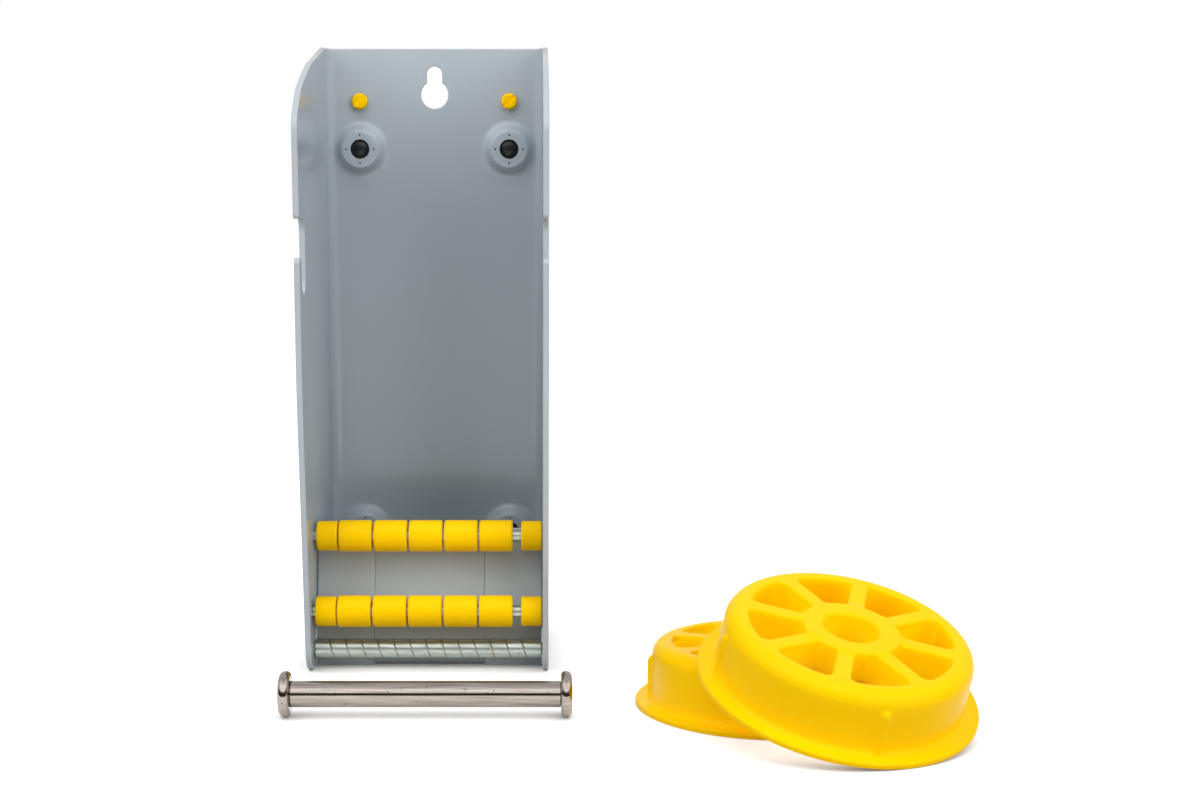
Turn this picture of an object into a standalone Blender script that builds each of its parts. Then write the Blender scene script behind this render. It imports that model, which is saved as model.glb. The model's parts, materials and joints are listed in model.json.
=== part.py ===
"""Label dispenser: a folded sheet housing with two rows of guide rollers, a peel bar,
a drop-in spindle and two core hubs, laid out ready to be loaded.

Metres, +Z up. The housing stands upright with its open front towards -Y. The origin is
the middle of the back wall's bottom edge.
"""

import math

import bmesh
import bpy
from mathutils import Matrix
from mathutils import Vector

# Housing: one folded sheet with a back wall and two side walls
HOUSING_WIDTH = 0.0824
HOUSING_HEIGHT = 0.2147
HOUSING_DEPTH = 0.086
SHEET = 0.002
BEND_RADIUS = 0.0035
FIT_GAP = 0.0003

# Outline of the side walls
WALL_TOP_DROP = 0.0099
WALL_TOP_RUN = 0.0425
WALL_TOP_ROUND = 0.120
WALL_MID_DROP = 0.0200
WALL_MID_SETBACK = 0.0117
WALL_MID_ROUND = 0.026
WALL_FRONT_DROP = 0.0305
WALL_CORNER_RADIUS = 0.010
TAPER_BELOW_MOUTH = 0.0441
TAPER_SETBACK = 0.0105
TAPER_ROUND = 0.060
TIP_RADIUS = 0.0085

# J slots that take the spindle
MOUTH_DROP = 0.0622
MOUTH_HEIGHT = 0.0124
SLOT_CLEARANCE = 0.0008
SEAT_DROP = 0.0118
LIP_WIDTH = 0.0046
MOUTH_CORNER = 0.0017
SLOT_CORNER = 0.0045
LIP_CORNER = 0.0021

# Keyhole for a wall screw
KEYHOLE_DROP = 0.0163
KEYHOLE_DIAMETER = 0.010
KEYHOLE_SLOT = 0.0056
KEYHOLE_REACH = 0.0101

# Pressed bosses, the rubber feet they hold and the plastic rivets above them
BOSS_INSET = 0.0140
BOSS_UPPER_DROP = 0.0360
BOSS_LOWER_HEIGHT = 0.0376
BOSS_TOP = 0.0132
BOSS_FLANK = 0.0026
BOSS_RISE = 0.0035
BOSS_ROUND = 0.0012
BOSS_THINNING = 0.0005
NOTCH_WIDTH = 0.0006
NOTCH_REACH = 0.0014
FOOT_STEM = 0.0066
STEM_CLEARANCE = 0.0006
FOOT_TIP_RISE = 0.0012
PAD_CLEARANCE = 0.0007
FOOT_STAND_OFF = 0.0035
FOOT_EDGE = 0.0009
RIVET_DROP = 0.0188
RIVET_HEAD = 0.0058
RIVET_HEAD_RISE = 0.0021
RIVET_SHANK = 0.0040
RIVET_TAIL = 0.0054
RIVET_TAIL_RISE = 0.0011
RIVET_SLOT = 0.0010
RIVET_SLOT_DEPTH = 0.0011
RIVET_SLOT_TURN = 40.0

# Roller rows: steel rods with end bushes and loose rollers
ROD_DIAMETER = 0.004
ROD_CLEARANCE = 0.0003
UPPER_ROW_SETBACK = 0.0240
UPPER_ROW_HEIGHT = 0.0454
LOWER_ROW_SETBACK = 0.0168
LOWER_ROW_HEIGHT = 0.0205
ROLLERS_PER_ROW = 5
ROLLER_DIAMETER = 0.0108
ROLLER_GAP = 0.0007
ROLLER_CHAMFER = 0.0007
BUSH_DIAMETER = 0.0102
BUSH_LENGTH = 0.0070
BUSH_CHAMFER = 0.0004
BUSH_GAP = 0.0004
BARE_ROD = 0.0029
LEFT_BUSH_GAP = 0.0012

# Ramp behind the rollers, its side tabs and the peel bar in front of its foot
RAMP_GAP = 0.0042
RAMP_EDGE_HEIGHT = 0.0098
RAMP_ABOVE_ROW = 0.0011
RAMP_BEND = 0.001
TAB_WIDTH = 0.0197
BAR_DIAMETER = 0.0065
BAR_GAP = 0.00075
BAR_HEIGHT = 0.0068
BAR_EDGE = 0.0004

# Spindle, lying in front of the housing
SHAFT_DIAMETER = 0.0082
SHAFT_PLAY = 0.0004
SHAFT_SPIGOT = 0.0050
SHAFT_SPIGOT_LENGTH = 0.0020
HEAD_DIAMETER = 0.0143
HEAD_LENGTH = 0.0035
HEAD_ROUND = 0.0014
SPINDLE_SIDE_SHIFT = 0.0029
SPINDLE_AHEAD = 0.0434

# Core hubs, one flat and one leaning on it
HUB_BASE = 0.0746
HUB_DRAFT = 0.0004
HUB_HEIGHT = 0.0203
HUB_WALL = 0.0022
HUB_WEB = 0.0018
HUB_TOP_ROUND = 0.0045
HUB_FOOT_ROUND = 0.0018
FLANGE_WIDTH = 0.0050
FLANGE_THICKNESS = 0.0017
FLANGE_ROUND = 0.0006
BORE_CLEARANCE = 0.00095
BORE_ROUND = 0.0009
TUBE_WALL = 0.0022
TUBE_END = 0.0083
COLLAR_WIDTH = 0.0067
RIM_WIDTH = 0.0064
SPOKES = 8
SPOKE_WIDTH = 0.0052
WINDOW_CORNER = 0.0020
RIBS = 4
RIB_WIDTH = 0.0023
RIB_RISE = 0.0012
RIB_STOP = 0.0046
RIB_SLOPE = 0.0014
HUB_SIDE_GAP = 0.0273
REAR_HUB_AHEAD = 0.0280
HUB_SPACING = 0.0365
HUB_LEAN_HEADING = -64.5
FRONT_HUB_TURN = 9.0

# Roundness: sides of turned pieces and windows, degrees per facet on bends and on small edges,
# the longest facet, and the angle past which an edge stays sharp
ROUND_STEPS = 20
BOSS_STEPS = 28
HUB_STEPS = 48
WINDOW_STEPS = 4
BEND_FACET = 15.0
EDGE_FACET = 45.0
LONGEST_FACET = 0.005
SHARP_ANGLE = 35.0

# How far a cutting shape reaches past what it cuts
CUT = 0.004

# Sizes and places worked out from the driving dimensions
WALL_INNER = HOUSING_WIDTH / 2 - SHEET
BACK_INNER = -SHEET / 2
BACK_OUTER = SHEET / 2
FRONT_EDGE = BACK_OUTER - HOUSING_DEPTH
SLOT_WIDTH = SHAFT_DIAMETER + 2 * SLOT_CLEARANCE
BOSS_SIDE = HOUSING_WIDTH / 2 - BOSS_INSET
BOSS_HOLE = FOOT_STEM + 2 * STEM_CLEARANCE
FOOT_PAD = BOSS_TOP - 2 * PAD_CLEARANCE
LEFT_BUSH = LEFT_BUSH_GAP + BUSH_LENGTH / 2 - WALL_INNER
RIGHT_BUSH = WALL_INNER - FIT_GAP - BUSH_LENGTH / 2
ROLLER_ROOM = RIGHT_BUSH - LEFT_BUSH - BUSH_LENGTH - BUSH_GAP - BARE_ROD
ROLLER_LENGTH = (ROLLER_ROOM - (ROLLERS_PER_ROW - 1) * ROLLER_GAP) / ROLLERS_PER_ROW
HUB_TOP = HUB_BASE - 2 * HUB_DRAFT
HUB_FLANGE = HUB_BASE + 2 * FLANGE_WIDTH
HUB_OPENING = HUB_BASE - 2 * HUB_WALL
HUB_BORE = HEAD_DIAMETER + 2 * BORE_CLEARANCE
WINDOW_INNER = HUB_BORE + 2 * COLLAR_WIDTH
WINDOW_OUTER = HUB_TOP - 2 * RIM_WIDTH


def clear_scene():
    for old in list(bpy.data.objects):
        bpy.data.objects.remove(old, do_unlink=True)


def make_material(name, colour, roughness, metallic):
    material = bpy.data.materials.new(name)
    material.use_nodes = True
    shader = material.node_tree.nodes["Principled BSDF"]
    shader.inputs["Base Color"].default_value = (*colour, 1.0)
    shader.inputs["Roughness"].default_value = roughness
    shader.inputs["Metallic"].default_value = metallic
    material.diffuse_color = (*colour, 1.0)
    return material


def rounded_outline(corners, facet=EDGE_FACET):
    """A closed outline from (a, b, radius) corners, each rounded by an arc that touches both sides."""
    points = []
    count = len(corners)
    for index, (a, b, radius) in enumerate(corners):
        here = Vector((a, b))
        before = Vector(corners[index - 1][:2]) - here
        after = Vector(corners[(index + 1) % count][:2]) - here
        bend = before.angle(after)
        if radius <= 0 or bend > math.radians(179.5):
            points.append(here)
            continue
        reach = radius / math.tan(bend / 2)
        reach = min(reach, before.length * 0.49, after.length * 0.49)
        fitted = reach * math.tan(bend / 2)
        middle = (before.normalized() + after.normalized()).normalized()
        centre = here + middle * (fitted / math.sin(bend / 2))
        start = here + before.normalized() * reach - centre
        end = here + after.normalized() * reach - centre
        sweep = start.angle_signed(end)
        by_angle = math.ceil(abs(math.degrees(sweep)) / facet - 0.01)
        by_length = math.ceil(fitted * abs(sweep) / LONGEST_FACET)
        steps = max(2, by_angle, by_length)
        for step in range(steps + 1):
            turn = Matrix.Rotation(-sweep * step / steps, 2)
            points.append(centre + turn @ start)
    return points


def circle_outline(a, b, radius, steps=ROUND_STEPS):
    angles = [math.tau * step / steps for step in range(steps)]
    return [Vector((a + radius * math.cos(t), b + radius * math.sin(t))) for t in angles]


def sheet_outline(path, thickness, bend):
    """The outline of a bent sheet: the path is its outer face, and the sheet lies to the path's left."""
    sides = [(path[i + 1] - path[i]).normalized() for i in range(len(path) - 1)]
    normals = [Vector((-side.y, side.x)) for side in sides]
    inner = [path[0] + normals[0] * thickness]
    for index in range(1, len(path) - 1):
        middle = (normals[index - 1] + normals[index]).normalized()
        inner.append(path[index] + middle * (thickness / middle.dot(normals[index])))
    inner.append(path[-1] + normals[-1] * thickness)
    outer_round = [0.0] + [bend + thickness] * (len(path) - 2) + [0.0]
    inner_round = [0.0] + [bend] * (len(path) - 2) + [0.0]
    corners = [(p.x, p.y, r) for p, r in zip(path, outer_round)]
    corners += [(p.x, p.y, r) for p, r in reversed(list(zip(inner, inner_round)))]
    return rounded_outline(corners)


def add_prism(bm, outline, low, high, axis):
    """Adds an outline carried from low to high along X, Y or Z. It lies in the other two axes, in order."""
    place = {
        "X": lambda p, depth: (depth, p[0], p[1]),
        "Y": lambda p, depth: (p[0], depth, p[1]),
        "Z": lambda p, depth: (p[0], p[1], depth),
    }[axis]
    ends = [[bm.verts.new(place(p, depth)) for p in outline] for depth in (low, high)]
    bm.faces.new(ends[0])
    bm.faces.new(ends[1])
    for i in range(len(outline)):
        j = (i + 1) % len(outline)
        bm.faces.new((ends[0][i], ends[0][j], ends[1][j], ends[1][i]))


def add_turned(bm, profile, steps, place=Matrix()):
    """Adds a closed (radius, height) outline turned round Z. Where it meets the axis it gets a flat end."""
    angles = [math.tau * step / steps for step in range(steps)]
    columns = []
    for radius, height in profile:
        on_axis = radius < 1e-7
        ring = [place @ Vector((radius * math.cos(t), radius * math.sin(t), height)) for t in angles]
        columns.append(None if on_axis else [bm.verts.new(point) for point in ring])
    for here, there in zip(columns, columns[1:] + columns[:1]):
        if here is None or there is None:
            ends = [column for column in (here, there) if column is not None]
            for end in ends:
                bm.faces.new(end)
            continue
        for i in range(steps):
            j = (i + 1) % steps
            bm.faces.new((here[i], here[j], there[j], there[i]))


def finish(name, bm, material, location=(0, 0, 0), rotation=(0, 0, 0)):
    """Turns a bmesh into a placed object with outward faces and smooth round sides."""
    bmesh.ops.recalc_face_normals(bm, faces=bm.faces)
    mesh = bpy.data.meshes.new(name)
    bm.to_mesh(mesh)
    bm.free()
    mesh.materials.append(material)
    mesh.shade_smooth()
    mesh.set_sharp_from_angle(angle=math.radians(SHARP_ANGLE))
    obj = bpy.data.objects.new(name, mesh)
    obj.location = location
    obj.rotation_euler = rotation
    bpy.context.scene.collection.objects.link(obj)
    return obj


def turned(name, corners, material, location, rotation, steps=ROUND_STEPS):
    bm = bmesh.new()
    add_turned(bm, rounded_outline(corners), steps)
    return finish(name, bm, material, location, rotation)


def combine(target, operation, name, bm):
    """Cuts, joins or trims the target with a hidden shape that keeps the target's place."""
    tool = finish(name, bm, target.data.materials[0], target.location, target.rotation_euler)
    tool.hide_render = True
    tool.display_type = "WIRE"
    modifier = target.modifiers.new(name, "BOOLEAN")
    modifier.operation = operation
    modifier.solver = "EXACT"
    modifier.object = tool


def boss_places():
    heights = (HOUSING_HEIGHT - BOSS_UPPER_DROP, BOSS_LOWER_HEIGHT)
    return [(side * BOSS_SIDE, height) for height in heights for side in (-1, 1)]


def rivet_places():
    return [(side * BOSS_SIDE, HOUSING_HEIGHT - RIVET_DROP) for side in (-1, 1)]


def row_places():
    """The (y, z) of the upper rod and the lower rod."""
    upper = Vector((FRONT_EDGE + UPPER_ROW_SETBACK, UPPER_ROW_HEIGHT))
    lower = Vector((FRONT_EDGE + LOWER_ROW_SETBACK, LOWER_ROW_HEIGHT))
    return upper, lower


def ramp_point(height):
    """The (y, z) on the ramp's front face, which runs behind both rows at an even distance."""
    upper, lower = row_places()
    along = (upper - lower).normalized()
    behind = Vector((along.y, -along.x)) * (ROLLER_DIAMETER / 2 + RAMP_GAP)
    start = lower + behind
    return start + along * ((height - start.y) / along.y)


def bar_place():
    return Vector((ramp_point(RAMP_EDGE_HEIGHT).x - BAR_GAP - BAR_DIAMETER / 2, BAR_HEIGHT))


def channel_outline():
    """The folded sheet seen from above: both side walls and the back wall with its bends."""
    outer = HOUSING_WIDTH / 2
    bend = BEND_RADIUS
    return rounded_outline(
        [
            (-outer, FRONT_EDGE, 0),
            (-outer, BACK_OUTER, bend + SHEET),
            (outer, BACK_OUTER, bend + SHEET),
            (outer, FRONT_EDGE, 0),
            (WALL_INNER, FRONT_EDGE, 0),
            (WALL_INNER, BACK_INNER, bend),
            (-WALL_INNER, BACK_INNER, bend),
            (-WALL_INNER, FRONT_EDGE, 0),
        ],
        BEND_FACET,
    )


def wall_outline():
    """The side walls seen from the side: sloped top, J slot, tapered foot and round tip."""
    slope_start = BACK_INNER - BEND_RADIUS - FIT_GAP
    slope = WALL_TOP_DROP / WALL_TOP_RUN
    slot_front = FRONT_EDGE + LIP_WIDTH
    slot_back = slot_front + SLOT_WIDTH
    mouth_top = HOUSING_HEIGHT - MOUTH_DROP
    mouth_bottom = mouth_top - MOUTH_HEIGHT
    seat = mouth_bottom - SEAT_DROP
    return rounded_outline(
        [
            (BACK_OUTER + CUT, 0, 0),
            (BACK_OUTER + CUT, HOUSING_HEIGHT + CUT * slope, 0),
            (slope_start + CUT, HOUSING_HEIGHT + CUT * slope, 0),
            (slope_start - WALL_TOP_RUN, HOUSING_HEIGHT - WALL_TOP_DROP, WALL_TOP_ROUND),
            (FRONT_EDGE + WALL_MID_SETBACK, HOUSING_HEIGHT - WALL_MID_DROP, WALL_MID_ROUND),
            (FRONT_EDGE, HOUSING_HEIGHT - WALL_FRONT_DROP, WALL_CORNER_RADIUS),
            (FRONT_EDGE, mouth_top, MOUTH_CORNER),
            (slot_back, mouth_top, SLOT_CORNER),
            (slot_back, seat, SLOT_WIDTH / 2),
            (slot_front, seat, SLOT_WIDTH / 2),
            (slot_front, mouth_bottom, LIP_CORNER),
            (FRONT_EDGE, mouth_bottom, LIP_CORNER),
            (FRONT_EDGE, mouth_bottom - TAPER_BELOW_MOUTH, TAPER_ROUND),
            (FRONT_EDGE + TAPER_SETBACK, 0, TIP_RADIUS),
        ],
        BEND_FACET,
    )


def keyhole_outline():
    """A round entry for the screw's head, with a slot above it for the shank."""
    centre = HOUSING_HEIGHT - KEYHOLE_DROP
    radius = KEYHOLE_DIAMETER / 2
    half = KEYHOLE_SLOT / 2
    join = math.asin(half / radius)
    start = math.pi / 2 - join
    steps = ROUND_STEPS
    entry = [start - (math.tau - 2 * join) * step / steps for step in range(steps + 1)]
    points = [Vector((radius * math.cos(t), centre + radius * math.sin(t))) for t in entry]
    top = centre + KEYHOLE_REACH - half
    arch = [math.pi - math.pi * step / (steps // 2) for step in range(steps // 2 + 1)]
    points += [Vector((half * math.cos(t), top + half * math.sin(t))) for t in arch]
    return points


def notched_hole_outline(x, z):
    """A round hole with four short notches, seen from the front."""
    radius = BOSS_HOLE / 2
    half = NOTCH_WIDTH / 2
    edge = math.asin(half / radius)
    far = radius + NOTCH_REACH
    points = []
    for quarter in range(4):
        turn = Matrix.Rotation(math.pi / 2 * quarter, 2)
        points += [turn @ Vector((far, -half)), turn @ Vector((far, half))]
        span = math.pi / 2 - 2 * edge
        steps = ROUND_STEPS // 4
        for step in range(steps + 1):
            angle = edge + span * step / steps
            points.append(turn @ Vector((radius * math.cos(angle), radius * math.sin(angle))))
    return [Vector((x, z)) + point for point in points]


def add_boss(bm, x, z, back, front, shift, shrink):
    """Adds one cone of a pressed boss between two y planes. The flank is shifted back and drawn in."""
    flank = BOSS_FLANK / BOSS_RISE
    base = BOSS_TOP / 2 + BOSS_FLANK - shrink
    wide, narrow = [base + flank * (y - shift - BACK_INNER) for y in (back, front)]
    depth = back - front
    corners = [(0, 0, 0), (wide, 0, 0), (narrow, depth, BOSS_ROUND), (0, depth, 0)]
    place = Matrix.Translation((x, back, z)) @ Matrix.Rotation(math.pi / 2, 4, "X")
    add_turned(bm, rounded_outline(corners), BOSS_STEPS, place)


def make_housing(paint):
    bm = bmesh.new()
    add_prism(bm, channel_outline(), -CUT, HOUSING_HEIGHT, "Z")
    housing = finish("housing", bm, paint)

    bm = bmesh.new()
    add_prism(bm, wall_outline(), -HOUSING_WIDTH / 2 - CUT, HOUSING_WIDTH / 2 + CUT, "X")
    combine(housing, "INTERSECT", "wall_shape", bm)

    bm = bmesh.new()
    for x, z in boss_places():
        add_boss(bm, x, z, 0, BACK_INNER - BOSS_RISE, 0, 0)
    combine(housing, "UNION", "boss_cones", bm)

    bm = bmesh.new()
    for x, z in boss_places():
        add_boss(bm, x, z, BACK_OUTER + CUT, BACK_OUTER - BOSS_RISE, SHEET, BOSS_THINNING)
    combine(housing, "DIFFERENCE", "boss_recesses", bm)

    bm = bmesh.new()
    for x, z in boss_places():
        add_prism(bm, notched_hole_outline(x, z), BACK_INNER - BOSS_RISE - CUT, BACK_OUTER + CUT, "Y")
    for x, z in rivet_places():
        hole = RIVET_SHANK / 2 + FIT_GAP
        add_prism(bm, circle_outline(x, z, hole), BACK_INNER - CUT, BACK_OUTER + CUT, "Y")
    combine(housing, "DIFFERENCE", "back_holes", bm)

    bm = bmesh.new()
    add_prism(bm, keyhole_outline(), BACK_INNER - CUT, BACK_OUTER + CUT, "Y")
    combine(housing, "DIFFERENCE", "keyhole", bm)

    bm = bmesh.new()
    for y, z in (*row_places(), bar_place()):
        hole = ROD_DIAMETER / 2 + ROD_CLEARANCE
        reach = HOUSING_WIDTH / 2 + CUT
        add_prism(bm, circle_outline(y, z, hole), -reach, reach, "X")
    combine(housing, "DIFFERENCE", "rod_holes", bm)


def ramp_path(with_floor):
    """The ramp's front face from its top edge down to the floor, and back to the back wall."""
    edge = ramp_point(RAMP_EDGE_HEIGHT)
    path = [ramp_point(UPPER_ROW_HEIGHT + RAMP_ABOVE_ROW), edge, Vector((edge.x, 0))]
    if with_floor:
        path.append(Vector((BACK_INNER - FIT_GAP, 0)))
    return path


def make_ramp(paint):
    """The middle plate with its apron and floor strip, and a tab along each side wall."""
    far = WALL_INNER - FIT_GAP
    near = far - TAB_WIDTH
    half = near - FIT_GAP
    bm = bmesh.new()
    add_prism(bm, sheet_outline(ramp_path(True), SHEET, RAMP_BEND), -half, half, "X")
    finish("ramp_plate", bm, paint)
    for name, low, high in (("left_ramp_tab", -far, -near), ("right_ramp_tab", near, far)):
        bm = bmesh.new()
        add_prism(bm, sheet_outline(ramp_path(False), SHEET, RAMP_BEND), low, high, "X")
        finish(name, bm, paint)


def make_feet(rubber):
    """Push-in feet: a pad in the back of each boss and a stem whose tip shows in front."""
    names = ("upper_left_foot", "upper_right_foot", "lower_left_foot", "lower_right_foot")
    recess = BACK_OUTER - BOSS_RISE + FIT_GAP
    pad_end = BACK_OUTER + FOOT_STAND_OFF - recess
    stem_end = BACK_INNER - BOSS_RISE - FOOT_TIP_RISE - recess
    corners = [
        (0, stem_end, 0),
        (FOOT_STEM / 2, stem_end, FOOT_EDGE),
        (FOOT_STEM / 2, 0, 0),
        (FOOT_PAD / 2, 0, 0),
        (FOOT_PAD / 2, pad_end, FOOT_EDGE),
        (0, pad_end, 0),
    ]
    for name, (x, z) in zip(names, boss_places()):
        turned(name, corners, rubber, (x, recess, z), (-math.pi / 2, 0, 0))


def make_rivets(yellow):
    """Slotted plastic rivets through the back wall."""
    for name, (x, z) in zip(("left_rivet", "right_rivet"), rivet_places()):
        seat = FIT_GAP
        tail = -SHEET - FIT_GAP
        corners = [
            (0, seat + RIVET_HEAD_RISE, 0),
            (RIVET_HEAD / 2, seat + RIVET_HEAD_RISE, RIVET_HEAD_RISE / 2),
            (RIVET_HEAD / 2, seat, 0),
            (RIVET_SHANK / 2, seat, 0),
            (RIVET_SHANK / 2, tail, 0),
            (RIVET_TAIL / 2, tail, 0),
            (RIVET_TAIL / 2, tail - RIVET_TAIL_RISE, RIVET_TAIL_RISE / 3),
            (0, tail - RIVET_TAIL_RISE, 0),
        ]
        rivet = turned(name, corners, yellow, (x, BACK_INNER, z), (math.pi / 2, 0, 0))
        bm = bmesh.new()
        half = RIVET_SLOT / 2
        bar = [(-RIVET_HEAD, -half), (RIVET_HEAD, -half), (RIVET_HEAD, half), (-RIVET_HEAD, half)]
        turn = Matrix.Rotation(math.radians(RIVET_SLOT_TURN), 2)
        bottom = seat + RIVET_HEAD_RISE - RIVET_SLOT_DEPTH
        add_prism(bm, [turn @ Vector(p) for p in bar], bottom, bottom + CUT, "Z")
        combine(rivet, "DIFFERENCE", name + "_slot", bm)


def tube_corners(outer, inner, length, chamfer):
    half = length / 2
    return [
        (inner, -half, 0),
        (outer - chamfer, -half, 0),
        (outer, -half + chamfer, 0),
        (outer, half - chamfer, 0),
        (outer - chamfer, half, 0),
        (inner, half, 0),
    ]


def make_rows(steel, yellow):
    """Two rods held in the side walls, each with two end bushes and five loose rollers."""
    across = (0, math.pi / 2, 0)
    bore = ROD_DIAMETER / 2 + ROD_CLEARANCE
    for row, (y, z) in zip(("upper", "lower"), row_places()):
        half = HOUSING_WIDTH / 2
        corners = [(0, -half, 0), (ROD_DIAMETER / 2, -half, 0), (ROD_DIAMETER / 2, half, 0), (0, half, 0)]
        turned(row + "_rod", corners, steel, (0, y, z), across)

        bush = tube_corners(BUSH_DIAMETER / 2, bore, BUSH_LENGTH, BUSH_CHAMFER)
        for name, x in (("left", LEFT_BUSH), ("right", RIGHT_BUSH)):
            turned(f"{row}_{name}_bush", bush, yellow, (x, y, z), across)

        roller = tube_corners(ROLLER_DIAMETER / 2, bore, ROLLER_LENGTH, ROLLER_CHAMFER)
        first = LEFT_BUSH + BUSH_LENGTH / 2 + BUSH_GAP + ROLLER_LENGTH / 2
        for index in range(ROLLERS_PER_ROW):
            x = first + index * (ROLLER_LENGTH + ROLLER_GAP)
            turned(f"{row}_roller_{index + 1}", roller, yellow, (x, y, z), across)


def make_peel_bar(steel):
    y, z = bar_place()
    shoulder = WALL_INNER - FIT_GAP
    end = HOUSING_WIDTH / 2
    pin = ROD_DIAMETER / 2
    radius = BAR_DIAMETER / 2
    corners = [
        (0, -end, 0),
        (pin, -end, 0),
        (pin, -shoulder, 0),
        (radius, -shoulder, BAR_EDGE),
        (radius, shoulder, BAR_EDGE),
        (pin, shoulder, 0),
        (pin, end, 0),
        (0, end, 0),
    ]
    turned("peel_bar", corners, steel, (0, y, z), (0, math.pi / 2, 0))


def make_spindle(steel):
    """A bar that spans both side walls, with a round head on a spigot at each end."""
    centre = Vector((SPINDLE_SIDE_SHIFT, FRONT_EDGE - SPINDLE_AHEAD, HEAD_DIAMETER / 2))
    across = (0, math.pi / 2, 0)
    half = HOUSING_WIDTH / 2 + SHAFT_PLAY / 2
    end = half + SHAFT_SPIGOT_LENGTH
    spigot = SHAFT_SPIGOT / 2
    shaft = SHAFT_DIAMETER / 2
    corners = [
        (0, -end, 0),
        (spigot, -end, 0),
        (spigot, -half, 0),
        (shaft, -half, 0),
        (shaft, half, 0),
        (spigot, half, 0),
        (spigot, end, 0),
        (0, end, 0),
    ]
    turned("spindle_shaft", corners, steel, centre, across)

    inner = half + FIT_GAP
    outer = inner + HEAD_LENGTH
    rim = HEAD_DIAMETER / 2
    socket = spigot + FIT_GAP
    head = [
        (socket, inner, 0),
        (rim, inner, HEAD_ROUND / 2),
        (rim, outer, HEAD_ROUND),
        (0, outer, 0),
        (0, end + FIT_GAP, 0),
        (socket, end + FIT_GAP, 0),
    ]
    mirrored = [(radius, -height, edge) for radius, height, edge in reversed(head)]
    turned("spindle_right_head", head, steel, centre, across)
    turned("spindle_left_head", mirrored, steel, centre, across)


def window_outline():
    """One opening between two spokes, centred on the hub's X axis, with parallel spoke sides."""
    share = math.pi / SPOKES
    half = SPOKE_WIDTH / 2
    inner = WINDOW_INNER / 2
    outer = WINDOW_OUTER / 2
    near = share - math.asin(half / inner)
    far = share - math.asin(half / outer)
    corners = [(inner * math.cos(-near), inner * math.sin(-near), WINDOW_CORNER / 2)]
    for step in range(WINDOW_STEPS + 1):
        angle = -far + 2 * far * step / WINDOW_STEPS
        edge = WINDOW_CORNER if step in (0, WINDOW_STEPS) else 0
        corners.append((outer * math.cos(angle), outer * math.sin(angle), edge))
    corners.append((inner * math.cos(near), inner * math.sin(near), WINDOW_CORNER / 2))
    corners.append((inner, 0, 0))
    return rounded_outline(corners)


def spread_prisms(side, width, count, start=0.0):
    """Upright plates of one side outline, spread evenly about the Z axis from a start angle."""
    bm = bmesh.new()
    for place in range(count):
        fresh = len(bm.verts)
        add_prism(bm, side, -width / 2, width / 2, "Y")
        bm.verts.ensure_lookup_table()
        turn = Matrix.Rotation(start + math.tau * place / count, 3, "Z")
        bmesh.ops.rotate(bm, verts=bm.verts[fresh:], cent=(0, 0, 0), matrix=turn)
    return bm


def make_hub(name, yellow, location, rotation):
    """A core hub: flanged drum with a spoked web, a tube for the spindle and ribs that grip the core."""
    bore = HUB_BORE / 2
    tube = bore + TUBE_WALL
    web = HUB_HEIGHT - HUB_WEB
    opening = HUB_OPENING / 2
    corners = [
        (opening, 0, 0),
        (HUB_FLANGE / 2, 0, 0),
        (HUB_FLANGE / 2, FLANGE_THICKNESS, FLANGE_ROUND),
        (HUB_BASE / 2, FLANGE_THICKNESS, HUB_FOOT_ROUND),
        (HUB_TOP / 2, HUB_HEIGHT, HUB_TOP_ROUND),
        (bore, HUB_HEIGHT, BORE_ROUND),
        (bore, TUBE_END, 0),
        (tube, TUBE_END, 0),
        (tube, web, 0),
        (opening, web, HUB_TOP_ROUND - HUB_WALL),
    ]
    hub = turned(name, corners, yellow, location, rotation, HUB_STEPS)

    bm = bmesh.new()
    for spoke in range(SPOKES):
        turn = Matrix.Rotation(math.tau * spoke / SPOKES, 2)
        outline = [turn @ point for point in window_outline()]
        add_prism(bm, outline, web - CUT, HUB_HEIGHT + CUT, "Z")
    combine(hub, "DIFFERENCE", name + "_windows", bm)

    inner = bore + TUBE_WALL / 2
    outer = opening + HUB_WALL / 2
    foot = TUBE_END + FIT_GAP
    head = web + HUB_WEB / 2
    corner = HUB_TOP_ROUND
    side = [
        (inner, foot),
        (outer, foot),
        (outer, HUB_HEIGHT - corner),
        (HUB_TOP / 2 - corner, head),
        (inner, head),
    ]
    walls = spread_prisms(side, HUB_WALL, SPOKES, math.pi / SPOKES)
    combine(hub, "UNION", name + "_spoke_walls", walls)

    low = FLANGE_THICKNESS / 2
    high = HUB_HEIGHT - RIB_STOP
    root = HUB_TOP / 2 - HUB_WALL / 2
    tip = HUB_BASE / 2 + RIB_RISE
    side = [(root, low), (tip, low), (tip, high - RIB_SLOPE), (root, high + RIB_SLOPE)]
    combine(hub, "UNION", name + "_ribs", spread_prisms(side, RIB_WIDTH, RIBS))


def halve(low, high, is_low, rounds=50):
    """Narrows low and high to the value where is_low stops being true."""
    for _ in range(rounds):
        middle = (low + high) / 2
        if is_low(middle):
            low = middle
        else:
            high = middle
    return (low + high) / 2


def rim_height(distance):
    """The height of a flat hub's top, with its rounded edge, at a distance from its axis."""
    edge = HUB_TOP / 2 - HUB_TOP_ROUND
    if distance <= edge:
        return HUB_HEIGHT
    if distance >= HUB_TOP / 2:
        return FLANGE_THICKNESS
    return HUB_HEIGHT - HUB_TOP_ROUND + math.sqrt(HUB_TOP_ROUND**2 - (distance - edge) ** 2)


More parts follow.
